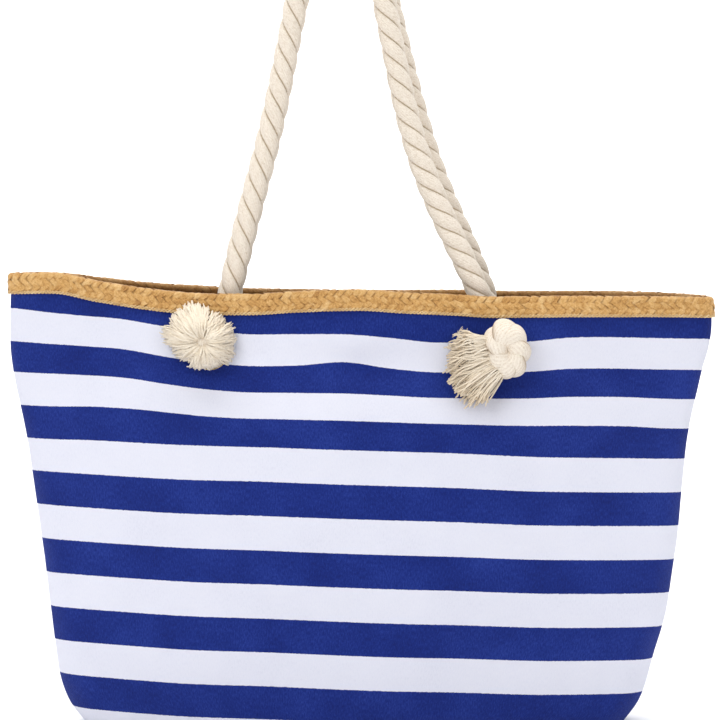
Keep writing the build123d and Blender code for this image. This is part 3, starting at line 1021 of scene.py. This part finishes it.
def knots_and_ends():
    """A knot and its frayed end outside each eyelet; both walls have the same two."""
    left_coils = range(0, 360, 60)
    right_coils = (150, 102, 44, -8, -58, -108, -160)
    pieces = {}
    for side in SIDES:
        left, right = f"{side}_left", f"{side}_right"
        pieces[side, "left"] = [
            knot_coils(f"{left}_coils", side, (-117.5, 306.0), left_coils, f"{left}_knot", 0.62),
            pompom(f"{left}_yarns", side, (-121.0, 312.0), f"{left}_tassel", 11),
        ]
        pieces[side, "right"] = [
            knot_coils(f"{right}_coils", side, (113.0, 306.5), right_coils, f"{right}_knot", 1.0),
            fan(f"{right}_yarns", side, (110.5, 309.0), f"{right}_tassel", 23),
        ]
    return pieces


ends = knots_and_ends()


# -------------------- metal parts kept from the frame
def finish_node(name, material):
    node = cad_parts[name]
    node.data.materials.clear()
    node.data.materials.append(material)
    node.data.polygons.foreach_set("material_index", [0] * len(node.data.polygons))


for side_name in SIDES:
    for hand in HANDS:
        finish_node(f"{side_name}_{hand}_eyelet", BRASS)
        finish_node(f"{side_name}_{hand}_eyelet_washer", BRASS)


def snap(name, side_name, profile):
    """One half of the magnetic snap, turned from its profile of radius and height."""
    origin, out = wall_point(side_name, 0.0, SNAP_HEIGHT, WALL / MM + 0.2)
    low, _ = wall_point(side_name, 0.0, SNAP_HEIGHT - 8.0, WALL / MM)
    high, _ = wall_point(side_name, 0.0, SNAP_HEIGHT + 8.0, WALL / MM)
    up = (high - low) / np.linalg.norm(high - low)
    across = np.array([1.0, 0.0, 0.0])
    inward = np.cross(up, across)
    inward = inward if inward @ out < 0 else -inward
    angles = np.linspace(0, 2 * np.pi, 64, endpoint=False)
    rings = [
        origin + inward * height * MM + (across * np.cos(angle) + up * np.sin(angle)) * radius * MM
        for radius, height in profile
        for angle in angles
    ]
    rings = np.array(rings).reshape(len(profile), 64, 3)
    bundle = Bundle()
    bundle.rings(rings, np.zeros((len(profile), 64, 2)))
    disc = bundle.build(f"{name}_turned", STEEL)
    edge = disc.modifiers.new("edges", "EDGE_SPLIT")
    edge.split_angle = np.radians(40)
    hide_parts(name)
    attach(disc, "bag")


SNAP_DISC = [(0.3, 0), (8.6, 0), (9.0, 0.4), (9.0, 1.2), (8.6, 1.6), (7.4, 1.6), (7.1, 1.3), (6.7, 1.3)]
SOCKET_FACE = [(6.4, 2.2), (6.0, 2.6), (3.0, 2.6), (2.6, 2.3), (2.6, 1.1), (0.3, 1.1)]
STUD_FACE = [(3.4, 1.3), (3.1, 1.6), (2.5, 1.6), (2.5, 2.6), (2.2, 2.9), (0.3, 2.9)]
snap("snap_socket", "front", SNAP_DISC + SOCKET_FACE)
snap("snap_stud", "rear", SNAP_DISC + STUD_FACE)


# -------------------- floor and light
def plain_material(name, colour, roughness):
    shader = Shader(name, roughness)
    shader.main.inputs["Base Color"].default_value = (*colour, 1)
    return shader.material


def studio():
    """A white sweep that rises behind the bag, under broad soft lamps."""
    across = np.linspace(-9, 9, 12)
    angles = np.linspace(0.05, np.pi / 2, 18)
    profile = [(-6.0, 0.0), (4.5, 0.0)]
    profile += [(4.5 + 3.0 * np.sin(angle), 3.0 - 3.0 * np.cos(angle)) for angle in angles]
    profile += [(7.5, 7.0)]
    points = [(x, y, z) for y, z in profile for x in across]
    sweep = make_object(
        "studio_sweep",
        points,
        grid_faces(len(profile), len(across)),
        material=plain_material("white_paper", (0.9, 0.9, 0.91), 0.95),
    )
    world = bpy.data.worlds.new("studio")
    world.use_nodes = True
    world.node_tree.nodes["Background"].inputs["Color"].default_value = (1.0, 1.0, 1.0, 1)
    world.node_tree.nodes["Background"].inputs["Strength"].default_value = 0.62
    bpy.context.scene.world = world
    lamps = [
        ("key", (-1.5, -2.3, 1.9), (0, 0, 0.28), 1.5, 26.0),
        ("fill", (1.9, -2.0, 1.0), (0, 0, 0.28), 1.8, 7.0),
        ("top", (0.0, 0.7, 3.0), (0, 0.7, 0.0), 3.4, 95.0),
        ("paper", (0.0, 4.0, 4.2), (0, 7.0, 0.4), 5.0, 300.0),
    ]
    for name, place, aim, width, power in lamps:
        data = bpy.data.lights.new(name, "AREA")
        data.size = width
        data.energy = power
        lamp = bpy.data.objects.new(name, data)
        bpy.context.scene.collection.objects.link(lamp)
        lamp.location = place
        lamp.rotation_euler = (Vector(aim) - Vector(place)).to_track_quat("-Z", "Y").to_euler()
    bpy.context.scene.view_settings.view_transform = "Standard"


studio()

bpy.context.view_layer.update()
